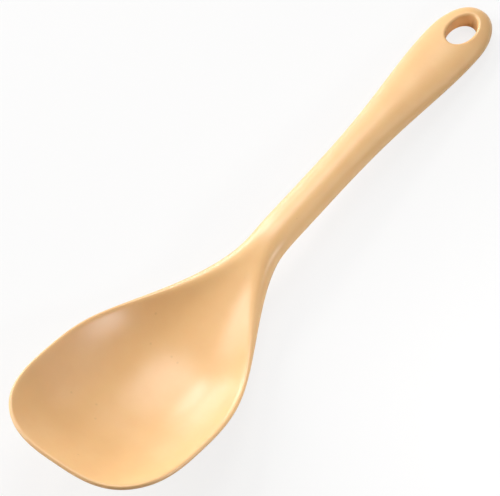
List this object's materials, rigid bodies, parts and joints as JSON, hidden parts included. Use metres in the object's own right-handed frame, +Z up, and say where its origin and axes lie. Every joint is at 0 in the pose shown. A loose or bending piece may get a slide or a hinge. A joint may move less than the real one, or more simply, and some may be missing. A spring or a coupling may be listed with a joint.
{
  "type": "rice paddle",
  "caption": "Long-handled rice paddle with a deep round-cornered bowl, a necked handle that widens to a rounded grip, and an oval hanging hole.",
  "frame": {"origin": "on the table, under the middle of the paddle's length and width", "axes": "+X from the tip of the bowl to the end of the handle, +Y across the paddle, +Z up from the table that it lies on, with the bowl open upwards"},
  "size_m": [0.2704, 0.0706, 0.0315],
  "materials": {
    "skin": "satin",
    "core": "matte"
  },
  "bodies": {
    "root": {"paddle_skin": "skin", "stiffening_core": "core"}
  },
  "joints": []
}
